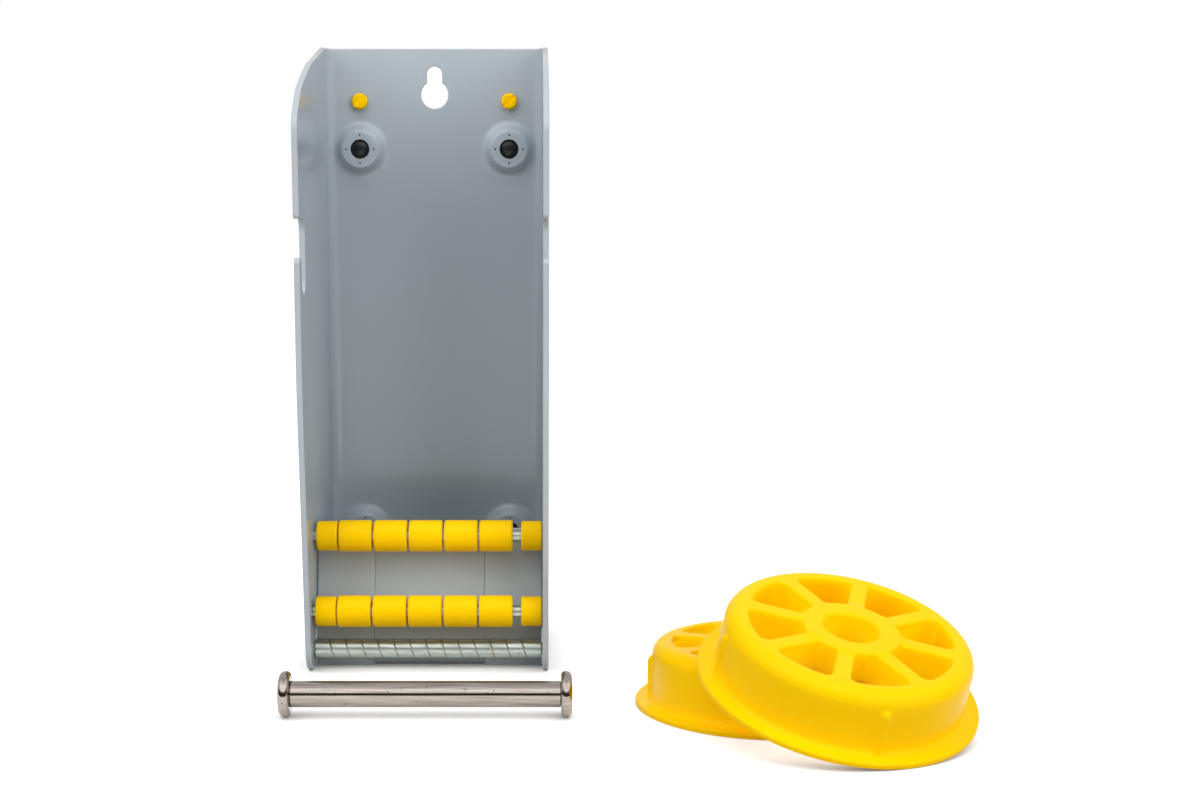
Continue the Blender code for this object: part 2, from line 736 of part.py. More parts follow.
def hub_lean():
    """The angle at which the front hub's open edge rests on the rear hub's rounded rim.

    The front hub stands on the lowest point of its flange. The rear hub's nearest rim
    is inside the front hub's hollow underside, whose edge just clears it.
    """
    opening = HUB_OPENING / 2
    flange = HUB_FLANGE / 2
    angles = [math.radians(degree) for degree in range(181)]

    def least_gap(lean):
        gaps = []
        for angle in angles:
            along = opening * math.cos(angle)
            distance = math.hypot(along * math.cos(lean) - HUB_SPACING, opening * math.sin(angle))
            gaps.append((flange + along) * math.sin(lean) - rim_height(distance))
        return min(gaps)

    return halve(0.0, math.pi / 3, lambda lean: least_gap(lean) < FIT_GAP)


def make_hubs(yellow):
    side = HOUSING_WIDTH / 2 + HUB_SIDE_GAP + HUB_FLANGE / 2
    rear = Vector((side, FRONT_EDGE - REAR_HUB_AHEAD, 0))
    make_hub("rear_hub", yellow, rear, (0, 0, 0))
    lean = hub_lean()
    heading = math.radians(HUB_LEAN_HEADING)
    front = rear + HUB_SPACING * Vector((math.cos(heading), math.sin(heading), 0))
    front.z = HUB_FLANGE / 2 * math.sin(lean)
    turn = (
        Matrix.Rotation(heading, 3, "Z")
        @ Matrix.Rotation(lean, 3, "Y")
        @ Matrix.Rotation(math.radians(FRONT_HUB_TURN) - heading, 3, "Z")
    )
    make_hub("front_hub", yellow, front, turn.to_euler())


def main():
    clear_scene()
    paint = make_material("grey_paint", (0.29, 0.32, 0.34), 0.35, 0.0)
    yellow = make_material("yellow_plastic", (0.88, 0.52, 0.004), 0.35, 0.0)
    rubber = make_material("black_rubber", (0.012, 0.012, 0.013), 0.7, 0.0)
    steel = make_material("bright_steel", (0.62, 0.62, 0.60), 0.22, 1.0)
    zinc = make_material("zinc_plate", (0.55, 0.57, 0.57), 0.32, 1.0)
    make_housing(paint)
    make_ramp(paint)
    make_feet(rubber)
    make_rivets(yellow)
    make_rows(steel, yellow)
    make_peel_bar(zinc)
    make_spindle(steel)
    make_hubs(yellow)


main()
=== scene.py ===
# Label dispenser: finishes, finer pieces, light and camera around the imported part
import json
import math

import bmesh
import bpy
import numpy as np
from mathutils import Matrix, Vector

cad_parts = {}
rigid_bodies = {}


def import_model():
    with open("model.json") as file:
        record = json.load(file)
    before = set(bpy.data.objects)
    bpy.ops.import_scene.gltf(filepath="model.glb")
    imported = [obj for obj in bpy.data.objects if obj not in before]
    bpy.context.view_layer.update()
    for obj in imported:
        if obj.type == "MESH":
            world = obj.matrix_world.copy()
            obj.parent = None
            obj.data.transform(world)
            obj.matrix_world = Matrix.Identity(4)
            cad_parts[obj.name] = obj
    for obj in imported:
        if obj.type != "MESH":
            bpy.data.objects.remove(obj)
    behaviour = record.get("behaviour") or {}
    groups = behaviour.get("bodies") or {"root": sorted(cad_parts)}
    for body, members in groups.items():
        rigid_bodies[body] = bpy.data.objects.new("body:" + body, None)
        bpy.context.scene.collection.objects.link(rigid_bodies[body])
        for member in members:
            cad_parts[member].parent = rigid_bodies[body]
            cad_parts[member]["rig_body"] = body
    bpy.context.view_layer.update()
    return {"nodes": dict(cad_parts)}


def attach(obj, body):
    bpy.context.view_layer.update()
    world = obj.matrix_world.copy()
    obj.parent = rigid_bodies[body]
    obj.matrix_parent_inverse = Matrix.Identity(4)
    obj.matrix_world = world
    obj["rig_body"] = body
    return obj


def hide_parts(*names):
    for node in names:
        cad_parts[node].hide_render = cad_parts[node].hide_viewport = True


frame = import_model()
nodes = frame["nodes"]
scene = bpy.context.scene
scene.view_settings.view_transform = "Standard"
mm = 0.001
print("frame loaded:", len(nodes), "nodes")


# small tools for nodes and colours

# a Mix node's sockets share their names, so they go by number: share, the two colours or values, result
mixShare, colourA, colourB, colourOut = 0, 6, 7, 2
valueA, valueB, valueOut = 2, 3, 0
# octaves of noise in a pattern, and the parts of a noise's range that make grain, streaks and nicks
fineDetail, cloudDetail, streakDetail, speckDetail = 2.0, 3.0, 4.0, 5.0
grainSpan, streakSpan, nickSpan = (0.3, 0.7), (0.35, 0.65), (0.66, 0.74)
white = (1.0, 1.0, 1.0, 1.0)


def linear(hexCode):
    # sRGB hex to linear light
    srgb = np.array([int(hexCode[i:i + 2], 16) for i in (1, 3, 5)]) / 255
    bright = ((srgb + 0.055) / 1.055) ** 2.4
    return (*np.where(srgb <= 0.04045, srgb / 12.92, bright).tolist(), 1.0)


def perMm(size):
    # texture scale, in repeats per metre, for a pattern of this many millimetres
    return 1 / (size * mm)


def addNode(tree, kind, inputs, **settings):
    # one node: its settings, then each input as a value or as a socket to link from
    made = tree.nodes.new(kind)
    for key, value in settings.items():
        setattr(made, key, value)
    for key, value in inputs.items():
        if isinstance(value, bpy.types.NodeSocket):
            tree.links.new(value, made.inputs[key])
        else:
            made.inputs[key].default_value = value
    return made


def newFinish(name, values):
    # a material with its shader's own sockets set, and its object coordinates
    finish = bpy.data.materials.new(name)
    finish.use_nodes = True
    tree = finish.node_tree
    shader = tree.nodes["Principled BSDF"]
    for key, value in values.items():
        shader.inputs[key].default_value = value
    place = addNode(tree, "ShaderNodeTexCoord", {}).outputs["Object"]
    return finish, tree, shader, place


def feedShader(tree, shader, shade, rough, bump):
    # the shader takes its colour, roughness and relief from these nodes
    tree.links.new(shade.outputs[colourOut], shader.inputs["Base Color"])
    tree.links.new(rough.outputs["Result"], shader.inputs["Roughness"])
    tree.links.new(bump.outputs["Normal"], shader.inputs["Normal"])


# powder-coated sheet steel: even grey, semi-gloss, a faint orange peel from the oven
paintLook = {
    "grey": "#A9B2B9", "pale": "#ADB6BC", "mottle": 30.0,
    "peel": 1.6, "peelHeight": 0.003, "gloss": (0.14, 0.18), "ior": 1.5,
}


def makePaint():
    look = paintLook
    finish, tree, shader, place = newFinish("powderCoatedSteel", {"IOR": look["ior"]})
    cloud = addNode(tree, "ShaderNodeTexNoise", {
        "Vector": place, "Scale": perMm(look["mottle"]), "Detail": cloudDetail})
    peel = addNode(tree, "ShaderNodeTexNoise", {
        "Vector": place, "Scale": perMm(look["peel"]), "Detail": fineDetail})
    shade = addNode(tree, "ShaderNodeMix", {
        mixShare: cloud.outputs["Fac"],
        colourA: linear(look["grey"]), colourB: linear(look["pale"])}, data_type="RGBA")
    rough = addNode(tree, "ShaderNodeMapRange", {
        "Value": cloud.outputs["Fac"], "To Min": look["gloss"][0], "To Max": look["gloss"][1]})
    bump = addNode(tree, "ShaderNodeBump", {
        "Height": peel.outputs["Fac"], "Strength": 1.0, "Distance": look["peelHeight"] * mm})
    feedShader(tree, shader, shade, rough, bump)
    return finish


# moulded polyethylene: saturated yellow, satin, with a very fine grain; hollows get a painted glow, an
# emission that grows with cover and stands in for daylight that the thin walls let in, keeping them deep
# yellow instead of brown
plasticLook = {
    "yellow": "#FDCC02", "deep": "#FAC700", "drift": 30.0,
    "grain": 0.45, "grainHeight": 0.0010, "gloss": (0.28, 0.36), "ior": 1.53, "shine": 0.05,
    "through": "#FFF000", "throughGlow": 0.43, "hollow": 26.0, "hollowFrom": 0.75, "coverSamples": 6,
}


def makePlastic():
    look = plasticLook
    finish, tree, shader, place = newFinish("mouldedPolyethylene", {
        "IOR": look["ior"], "Specular IOR Level": look["shine"], "Emission Color": linear(look["through"])})
    drift = addNode(tree, "ShaderNodeTexNoise", {
        "Vector": place, "Scale": perMm(look["drift"]), "Detail": fineDetail})
    # real grain is under 0.1 mm, drawn coarser so that it shows
    grain = addNode(tree, "ShaderNodeTexNoise", {
        "Vector": place, "Scale": perMm(look["grain"]), "Detail": fineDetail})
    shade = addNode(tree, "ShaderNodeMix", {
        mixShare: drift.outputs["Fac"],
        colourA: linear(look["deep"]), colourB: linear(look["yellow"])}, data_type="RGBA")
    rough = addNode(tree, "ShaderNodeMapRange", {
        "Value": grain.outputs["Fac"], "From Min": grainSpan[0], "From Max": grainSpan[1],
        "To Min": look["gloss"][0], "To Max": look["gloss"][1]})
    bump = addNode(tree, "ShaderNodeBump", {
        "Height": grain.outputs["Fac"], "Strength": 1.0, "Distance": look["grainHeight"] * mm})
    cover = addNode(
        tree, "ShaderNodeAmbientOcclusion", {"Distance": look["hollow"] * mm},
        samples=look["coverSamples"], only_local=True)
    # painted glow: the emission rises where the piece's own walls cover the surface, so hollows look lit
    glow = addNode(tree, "ShaderNodeMapRange", {
        "Value": cover.outputs["AO"], "From Max": look["hollowFrom"],
        "To Min": look["throughGlow"], "To Max": 0.0})
    feedShader(tree, shader, shade, rough, bump)
    tree.links.new(glow.outputs["Result"], shader.inputs["Emission Strength"])
    return finish


# bright drawn steel: long fine die lines along the bar, a few dark nicks, slightly warm
steelLook = {
    "bright": "#B5ACA3", "dull": "#8F867D", "lineLength": 14.0, "lineWidth": 0.22,
    "nick": 1.3, "nickDark": "#6E665F", "gloss": (0.08, 0.17), "lineHeight": 0.0012,
}


def makeSteel(name, look):
    finish, tree, shader, place = newFinish(name, {"Metallic": 1.0})
    # the bars all lie along X, so the lines are noise drawn out along X
    thin = perMm(look["lineWidth"])
    drawn = addNode(tree, "ShaderNodeMapping", {
        "Vector": place, "Scale": (perMm(look["lineLength"]), thin, thin)})
    lines = addNode(tree, "ShaderNodeTexNoise", {
        "Vector": drawn.outputs["Vector"], "Scale": 1.0, "Detail": streakDetail})
    specks = addNode(tree, "ShaderNodeTexNoise", {
        "Vector": place, "Scale": perMm(look["nick"]), "Detail": speckDetail})
    nicks = addNode(tree, "ShaderNodeMapRange", {
        "Value": specks.outputs["Fac"], "From Min": nickSpan[0], "From Max": nickSpan[1]})
    streak = addNode(tree, "ShaderNodeMapRange", {
        "Value": lines.outputs["Fac"], "From Min": streakSpan[0], "From Max": streakSpan[1]})
    shade = addNode(tree, "ShaderNodeMix", {
        mixShare: streak.outputs["Result"],
        colourA: linear(look["dull"]), colourB: linear(look["bright"])}, data_type="RGBA")
    marked = addNode(tree, "ShaderNodeMix", {
        mixShare: nicks.outputs["Result"],
        colourA: shade.outputs[colourOut], colourB: linear(look["nickDark"])}, data_type="RGBA")
    rough = addNode(tree, "ShaderNodeMapRange", {
        "Value": lines.outputs["Fac"], "From Min": streakSpan[0], "From Max": streakSpan[1],
        "To Min": look["gloss"][1], "To Max": look["gloss"][0]})
    bump = addNode(tree, "ShaderNodeBump", {
        "Height": lines.outputs["Fac"], "Strength": 1.0, "Distance": look["lineHeight"] * mm})
    feedShader(tree, shader, marked, rough, bump)
    return finish, tree, shader


# zinc plate on the grooved bar and the rods: cool and bright, with painted brown shade in the groove
zincLook = {
    "bright": "#C0C8C2", "dull": "#A4ADA8", "lineLength": 6.0, "lineWidth": 0.5,
    "nick": 1.6, "nickDark": "#8B9290", "gloss": (0.32, 0.44), "lineHeight": 0.0006,
    "grooveShade": "#8A7A5C",
}


def makeZinc():
    finish, tree, shader = makeSteel("zincPlate", zincLook)
    plated = shader.inputs["Base Color"].links[0].from_socket
    groove = addNode(tree, "ShaderNodeAttribute", {}, attribute_name="groove")
    # painted shade: where the bar's groove attribute marks the groove, the colour turns darker brown
    grooveShaded = addNode(tree, "ShaderNodeMix", {
        mixShare: groove.outputs["Fac"],
        colourA: plated, colourB: linear(zincLook["grooveShade"])}, data_type="RGBA")
    tree.links.new(grooveShaded.outputs[colourOut], shader.inputs["Base Color"])
    return finish


# moulded nitrile rubber: near black, dull, with a slight bloom in patches
rubberLook = {
    "black": "#08090A", "bloom": "#111214", "patch": 2.2, "grain": 0.3, "grainHeight": 0.004,
    "grainStrength": 0.5, "gloss": (0.28, 0.40), "ior": 1.52, "shine": 0.35,
}


def makeRubber():
    look = rubberLook
    finish, tree, shader, place = newFinish("nitrileRubber", {
        "IOR": look["ior"], "Specular IOR Level": look["shine"]})
    patch = addNode(tree, "ShaderNodeTexNoise", {
        "Vector": place, "Scale": perMm(look["patch"]), "Detail": cloudDetail})
    grain = addNode(tree, "ShaderNodeTexNoise", {
        "Vector": place, "Scale": perMm(look["grain"]), "Detail": fineDetail})
    shade = addNode(tree, "ShaderNodeMix", {
        mixShare: patch.outputs["Fac"],
        colourA: linear(look["black"]), colourB: linear(look["bloom"])}, data_type="RGBA")
    rough = addNode(tree, "ShaderNodeMapRange", {
        "Value": grain.outputs["Fac"], "From Min": grainSpan[0], "From Max": grainSpan[1],
        "To Min": look["gloss"][0], "To Max": look["gloss"][1]})
    bump = addNode(tree, "ShaderNodeBump", {
        "Height": grain.outputs["Fac"], "Strength": look["grainStrength"],
        "Distance": look["grainHeight"] * mm})
    feedShader(tree, shader, shade, rough, bump)
    return finish


finishes = {
    "grey_paint": makePaint(), "yellow_plastic": makePlastic(),
    "bright_steel": makeSteel("brightDrawnSteel", steelLook)[0],
    "zinc_plate": makeZinc(), "black_rubber": makeRubber(),
}
print("materials made:", len(finishes))


# small tools for surfaces, all in millimetres until the mesh is made

seamGap, sliverGap = 0.0005, 0.0001    # points this near become one, and faces thinner than this are dropped


def arcPath(corners, step=0.5, bend=12.0):
    # straight runs between (a, b, radius) corners, each corner an arc that touches both sides;
    # step is the longest run in mm and bend the most degrees between two points of an arc
    spots = np.array([corner[:2] for corner in corners], float)
    path = []
    for i, (here, corner) in enumerate(zip(spots, corners)):
        radius = corner[2]
        if radius <= 0 or i in (0, len(corners) - 1):
            path.append(here[None])
            continue
        back = spots[i - 1] - here
        ahead = spots[i + 1] - here
        back, ahead = back / np.linalg.norm(back), ahead / np.linalg.norm(ahead)
        half = math.acos(np.clip(back @ ahead, -1, 1)) / 2
        middle = (back + ahead) / np.linalg.norm(back + ahead)
        centre = here + middle * radius / math.sin(half)
        start = here + back * radius / math.tan(half) - centre
        sweep = math.pi - 2 * half
        sweep *= np.sign(back[1] * ahead[0] - back[0] * ahead[1])
        count = max(2, math.ceil(abs(math.degrees(sweep)) / bend))
        t = np.linspace(0, 1, count + 1) * sweep
        path.append(centre + np.stack([
            start[0] * np.cos(t) - start[1] * np.sin(t), start[0] * np.sin(t) + start[1] * np.cos(t)], 1))
    path = np.concatenate(path)
    runs = np.linalg.norm(np.diff(path, axis=0), axis=1)
    along = np.concatenate([[0], np.cumsum(runs)])
    stops = [
        np.linspace(along[i], along[i + 1], math.ceil(run / step) + 1)[:-1]
        for i, run in enumerate(runs) if run > 0]
    spread = np.concatenate([*stops, along[-1:]])
    return np.stack([np.interp(spread, along, path[:, k]) for k in (0, 1)], 1)


def turned(profile, angles, axis="z"):
    # a (radius, height) profile carried round an axis: each point goes to radius * (cos, sin) at its height
    radius, height = profile[:, 0:1], profile[:, 1:2]
    across, up = radius * np.cos(angles), radius * np.sin(angles)
    level = height + 0 * across
    order = {"x": (level, across, up), "y": (across, level, up), "z": (across, up, level)}[axis]
    return np.stack(order, -1)


def roundAngles(count):
    return np.linspace(0, 2 * math.pi, count, endpoint=False)


def eased(share):
    # 0 to 1 with level ends
    return share * share * (3 - 2 * share)


def quadCorners(rows, cols, wrap):
    # corner numbers of the quads between neighbouring rows and columns
    row = np.arange(rows - 1)[:, None] * cols
    col = np.arange(cols if wrap else cols - 1)[None]
    side = (col + 1) % cols
    return np.stack([row + col, row + side, row + cols + side, row + cols + col], -1).reshape(-1, 4)


def camelName(node):
    first, *rest = node.split("_")
    return first + "".join(word.capitalize() for word in rest)


def settle(piece, node, slot, finish=None):
    # the piece takes the node's place, rides on its body and wears its slot's finish unless another is given
    scene.collection.objects.link(piece)
    piece.data.materials.clear()
    piece.data.materials.append(finishes[finish or slot])
    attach(piece, nodes[node]["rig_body"])
    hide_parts(node)
    return piece


def makePiece(
        node, slot, grids, turn=np.eye(3), shift=(0, 0, 0), mark=None, sharp=40, name=None, finish=None):
    # grids of points in mm, each with True where its columns close into a ring; seams and poles are merged
    points, quads, count = [], [], 0
    for grid, wrap in grids:
        points.append(grid.reshape(-1, 3) @ np.asarray(turn).T + np.asarray(shift, float))
        quads.append(quadCorners(*grid.shape[:2], wrap) + count)
        count += len(points[-1])
    name = name or camelName(node)
    mesh = bpy.data.meshes.new(name)
    mesh.from_pydata((np.concatenate(points) * mm).tolist(), [], np.concatenate(quads).tolist())
    if mark is not None:
        groove = mesh.attributes.new("groove", "FLOAT", "POINT")
        groove.data.foreach_set("value", mark.astype(np.float32))
    bm = bmesh.new()
    bm.from_mesh(mesh)
    bmesh.ops.remove_doubles(bm, verts=bm.verts, dist=seamGap * mm)
    bmesh.ops.dissolve_degenerate(bm, edges=bm.edges, dist=sliverGap * mm)
    bmesh.ops.recalc_face_normals(bm, faces=bm.faces)
    bm.to_mesh(mesh)
    bm.free()
    mesh.shade_smooth()
    mesh.set_sharp_from_angle(angle=math.radians(sharp))
    return settle(bpy.data.objects.new(name, mesh), node, slot, finish)


# pressed bosses: the sheet draws round smoothly where each boss rises from the back wall, and a drawn-in lip
# stands close round the foot's stem
bossLook = {
    "side": 27.2, "heights": (178.7, 37.6), "wall": -1.0, "base": 9.2, "flank": 2.6, "rise": 3.5,
    "fillet": 3.4, "proud": 0.05, "sunk": 0.4, "steps": 84,
    "lip": (3.4, 4.75), "lipDeep": 1.4, "lipRound": 0.3,
}


def makeBossRings():
    # a rounded corner's profile, closed behind the sheet's face, and the lip's own profile, both turned round
    # each boss's axis
    look = bossLook
    slope = math.hypot(look["flank"], look["rise"])
    reach = look["fillet"] / math.tan((math.pi - math.atan2(look["rise"], look["flank"])) / 2)
    foot = arcPath([
        (look["base"] + reach, 0, 0), (look["base"], 0, look["fillet"]),
        (look["base"] - reach * look["flank"] / slope, reach * look["rise"] / slope, 0)], step=0.3, bend=6)
    hidden = np.array([[look["base"] - look["sunk"], -look["sunk"]], [look["base"] + reach, -look["sunk"]]])
    fillet = np.concatenate([foot + (0, look["proud"]), hidden])
    (near, far), top = look["lip"], look["rise"] + look["proud"]
    back = look["rise"] - look["lipDeep"]
    lip = arcPath([
        (far, back, 0), (far, top, look["proud"]), (near, top, look["lipRound"]),
        (near, back, 0), (far, back, 0)], step=0.4, bend=15)
    rings = [
        turned(np.concatenate([loop, loop[:1]]) * (1, -1), roundAngles(look["steps"]), "y")    # forward is -Y
        for loop in (fillet, lip[:-1])]
    grids = [
        (ring + (side * look["side"], look["wall"], height), True)
        for ring in rings for height in look["heights"] for side in (-1, 1)]
    makePiece("housing", "grey_paint", grids, name="bossRings")


# folded sheet: the CAD shape with its cut edges softened by the paint, apart from the bosses' narrow notches
sheetLook = {"weld": 0.002, "flat": 0.5, "sharp": 50, "edge": 0.4, "segments": 3, "notched": 10.0}


def readRows(items, key, width, kind=float):
    # a mesh's own values, one row of this width per item
    values = np.zeros(len(items) * width, kind)
    items.foreach_get(key, values)
    return values.reshape(-1, width)


def sheetMesh(node, name):
    # the CAD triangles joined to whole flat faces, sharp along the cut edges
    source = nodes[node].data
    places = readRows(source.vertices, "co", 3)
    corners = readRows(source.loops, "vertex_index", 1, int).reshape(-1, 3)
    mesh = bpy.data.meshes.new(name)
    mesh.from_pydata(places.tolist(), [], corners.tolist())
    bm = bmesh.new()
    bm.from_mesh(mesh)
    bmesh.ops.remove_doubles(bm, verts=bm.verts, dist=sheetLook["weld"] * mm)
    bmesh.ops.dissolve_limit(bm, angle_limit=math.radians(sheetLook["flat"]), verts=bm.verts, edges=bm.edges)
    bm.to_mesh(mesh)
    bm.free()
    mesh.shade_smooth()
    mesh.set_sharp_from_angle(angle=math.radians(sheetLook["sharp"]))
    return mesh


def weighEdges(mesh):
    # bevel weight 1 on cut edges whose middle is far from every boss's axis
    ends = readRows(mesh.edges, "vertices", 2, int)
    middles = readRows(mesh.vertices, "co", 3)[ends].mean(1) / mm
    cut = readRows(mesh.attributes["sharp_edge"].data, "value", 1, bool)[:, 0]
    beside = np.abs(middles[:, 0]) - bossLook["side"]
    above = middles[:, 2:] - np.array(bossLook["heights"])
    away = np.hypot(beside, np.abs(above).min(1)) > sheetLook["notched"]
    weight = mesh.attributes.new("bevel_weight_edge", "FLOAT", "EDGE")
    weight.data.foreach_set("value", (cut & away).astype(np.float32))


def softenSheet(node):
    name = camelName(node) + "Sheet"
    mesh = sheetMesh(node, name)
    weighEdges(mesh)
    piece = settle(bpy.data.objects.new(name, mesh), node, "grey_paint")
    bevel = piece.modifiers.new("paintedEdge", "BEVEL")
    bevel.width = sheetLook["edge"] * mm
    bevel.segments = sheetLook["segments"]
    bevel.limit_method = "WEIGHT"
    bevel.use_clamp_overlap = False    # short edges at the notches would clamp it to nothing
    bevel.harden_normals = True


softenSheet("housing")
makeBossRings()
print("housing softened")


# ramp: a bent sheet behind the rollers, as a middle plate with a floor strip and a tab at each side wall
rampLook = {
    "top": (-50.69, 46.5), "edge": (-61.30, 9.8), "back": -1.3, "thick": 2.0, "bend": 1.0,
    "plate": 19.03, "tab": (19.07, 38.88), "soft": 0.25, "softSteps": 5,
}


def sweptSheet(path, low, high, look):
    # a rounded (across, thickness) rectangle carried along the sheet's face: each point is the face's
    # point moved back along the face's normal; both ends close on their middle line
    soft, thick, steps = look["soft"], look["thick"], look["softSteps"]
    run = np.gradient(path, axis=0)
    run /= np.linalg.norm(run, axis=1)[:, None]
    behind = np.stack([-run[:, 1], run[:, 0]], 1)
    bend = np.radians(np.linspace(0, 90, steps))
    curve = np.stack([soft * (1 - np.cos(bend)), soft * (1 - np.sin(bend))], 1)    # across, then depth
    across = np.concatenate([low + curve[:, 0], high - curve[::-1, 0]])
    depth = np.concatenate([curve[:, 1], curve[::-1, 1]])
    ring = np.concatenate([np.stack([across, depth], 1), np.stack([across, thick - depth], 1)[::-1]])

    def endRows(tip, way):
        # the rectangle drawn in along a quarter circle, then flat onto its middle line
        reach = tip + np.outer(np.sin(bend[1:]), way) * soft
        squeeze = 1 - (1 - np.cos(bend[1:])) * soft / (thick / 2)
        return np.concatenate([reach, reach[-1:]]), np.append(squeeze, 0)

    firstSpots, firstSqueeze = endRows(path[0], -run[0])
    lastSpots, lastSqueeze = endRows(path[-1], run[-1])
    spots = np.concatenate([firstSpots[::-1], path, lastSpots])
    squeeze = np.concatenate([firstSqueeze[::-1], np.ones(len(path)), lastSqueeze])
    normals = np.concatenate([np.repeat(behind[:1], steps, 0), behind, np.repeat(behind[-1:], steps, 0)])
    back = thick / 2 + (ring[None, :, 1] - thick / 2) * squeeze[:, None]
    side = np.broadcast_to(ring[None, :, 0], back.shape)
    face = spots[:, None] + normals[:, None] * back[..., None]
    return np.concatenate([side[..., None], face], -1)


def makeRamp():
    look = rampLook
    soft, outer = look["soft"], look["bend"] + look["thick"]
    top, edge = np.array(look["top"]), np.array(look["edge"])
    start = top + (edge - top) / np.linalg.norm(edge - top) * soft
    floor = arcPath([
        (*start, 0), (*edge, outer), (edge[0], 0, outer), (look["back"] - soft, 0, 0)], step=2.0, bend=8)
    short = arcPath([(*start, 0), (*edge, outer), (edge[0], soft, 0)], step=2.0, bend=8)
    makePiece("ramp_plate", "grey_paint", [(sweptSheet(floor, -look["plate"], look["plate"], look), True)])
    near, far = look["tab"]
    makePiece("left_ramp_tab", "grey_paint", [(sweptSheet(short, -far, -near, look), True)])
    makePiece("right_ramp_tab", "grey_paint", [(sweptSheet(short, near, far, look), True)])


makeRamp()
print("ramp made")


# rubber feet: a pad behind the wall and a stem whose round tip shows in the boss
footLook = {
    "side": 27.2, "heights": {"upper": 178.7, "lower": 37.6}, "seat": -2.2, "back": 4.5, "tip": -5.7,
    "stem": 3.3, "pad": 5.9, "tipRound": 2.4, "seatRound": 0.2, "padLip": 0.3, "padRound": 0.9, "steps": 64,
}


def makeFeet():
    look = footLook
    profile = arcPath([
        (0, look["tip"], 0), (look["stem"], look["tip"], look["tipRound"]),
        (look["stem"], look["seat"], look["seatRound"]), (look["pad"], look["seat"], look["padLip"]),
        (look["pad"], look["back"], look["padRound"]), (0, look["back"], 0)])
    grid = turned(profile, roundAngles(look["steps"]), "y")
    for level, height in look["heights"].items():
        for name, side in (("left", -1), ("right", 1)):
            place = (side * look["side"], 0, height)
            makePiece(f"{level}_{name}_foot", "black_rubber", [(grid, True)], shift=place)


makeFeet()


# slotted plastic rivets: a low dome cut across by a screwdriver slot
rivetLook = {
    "side": 27.2, "height": 195.9, "wall": -1.0, "gap": 0.3, "head": 2.9, "rise": 2.1, "dome": 1.0,
    "shank": 2.0, "tail": 2.7, "tailRise": 1.1, "tailRound": 0.35, "sheet": 2.0,
    "slot": 1.0, "slotDeep": 1.1, "slotSoft": 0.12, "slotTurn": 40, "steps": 144,
}


def makeRivets():
    look = rivetLook
    seat = look["wall"] - look["gap"]
    top = seat - look["rise"]
    back = look["wall"] + look["sheet"] + look["gap"]
    end = back + look["tailRise"]
    # face: rings from the middle out to the dome's edge, sunk where a point lies inside the slot's two sides
    outline = arcPath([
        (0, top, 0), (look["head"], top, look["dome"]), (look["head"], seat, 0)], step=0.06, bend=5)
    angles = roundAngles(look["steps"])
    face = turned(outline, angles, "y")
    turn = math.radians(look["slotTurn"])
    off = np.abs(face[..., 0] * -math.sin(turn) + face[..., 2] * math.cos(turn))
    inside = np.clip((look["slot"] / 2 + look["slotSoft"] - off) / (2 * look["slotSoft"]), 0, 1)
    sunk = np.maximum(face[..., 1], top + look["slotDeep"])
    face[..., 1] += (sunk - face[..., 1]) * inside
    shank = arcPath([
        (look["head"], seat, 0), (look["shank"], seat, 0), (look["shank"], back, 0), (look["tail"], back, 0),
        (look["tail"], end, look["tailRound"]), (0, end, 0)])
    stem = turned(shank, angles, "y")
    for name, side in (("left", -1), ("right", 1)):
        place = (side * look["side"], 0, look["height"])
        makePiece(f"{name}_rivet", "yellow_plastic", [(face, True), (stem, True)], shift=place)


makeRivets()
print("feet and rivets made")


# roller rows: drawn rods, end bushes and loose rollers with small rounded chamfers
rowLook = {
    "rows": {"upper": (-61.0, 45.4), "lower": (-68.2, 20.5)}, "rod": 2.0, "rodEnd": 41.2, "rodRound": 0.3,
    "bore": 2.3, "boreRound": 0.15, "roller": 5.4, "rollerLength": 11.36, "rollerStep": 12.06,
    "firstRoller": -24.92, "rollers": 5, "chamfer": 0.5, "soft": 0.35, "steps": 96,
    "bush": 5.1, "bushLength": 7.0, "bushes": {"left": -34.5, "right": 35.4}, "bushEdge": 0.35,
}


def tube(outer, length, chamfer, soft):
    # a closed ring profile round the rod's bore, with chamfered, softened outer edges
    inner, lip, half = rowLook["bore"], rowLook["boreRound"], length / 2
    return arcPath([
        (inner, 0, 0), (inner, -half, lip), (outer - chamfer, -half, soft), (outer, -half + chamfer, soft),
        (outer, half - chamfer, soft), (outer - chamfer, half, soft), (inner, half, lip),
        (inner, 0, 0)], step=0.8)


def makeRows():
    look = rowLook
    angles = roundAngles(look["steps"])
    bar = arcPath([
        (0, -look["rodEnd"], 0), (look["rod"], -look["rodEnd"], look["rodRound"]),
        (look["rod"], look["rodEnd"], look["rodRound"]), (0, look["rodEnd"], 0)], step=3.0)
    wheel = tube(look["roller"], look["rollerLength"], look["chamfer"], look["soft"])
    sleeve = tube(look["bush"], look["bushLength"], look["bushEdge"], look["soft"] / 2)
    rod, roller, bush = [[(turned(profile, angles, "x"), True)] for profile in (bar, wheel, sleeve)]
    for row, (y, z) in look["rows"].items():
        makePiece(f"{row}_rod", "bright_steel", rod, shift=(0, y, z), finish="zinc_plate")
        for i in range(look["rollers"]):
            x = look["firstRoller"] + i * look["rollerStep"]
            makePiece(f"{row}_roller_{i + 1}", "yellow_plastic", roller, shift=(x, y, z))
        for name, x in look["bushes"].items():
            makePiece(f"{row}_{name}_bush", "yellow_plastic", bush, shift=(x, y, z))


makeRows()
print("roller rows made")


# peel bar: a round bar with one fine spiral groove between two plain ends
barLook = {
    "place": (0, -65.30, 6.8), "radius": 3.25, "shoulder": 38.9, "edge": 0.4, "edgeRound": 0.36,
    "pin": 2.0, "end": 41.2, "pinRound": 0.3,
    "pitch": 5.5, "groove": 0.42, "deep": 0.22, "plain": 2.2, "fade": 0.5, "step": 0.16, "steps": 72,
}


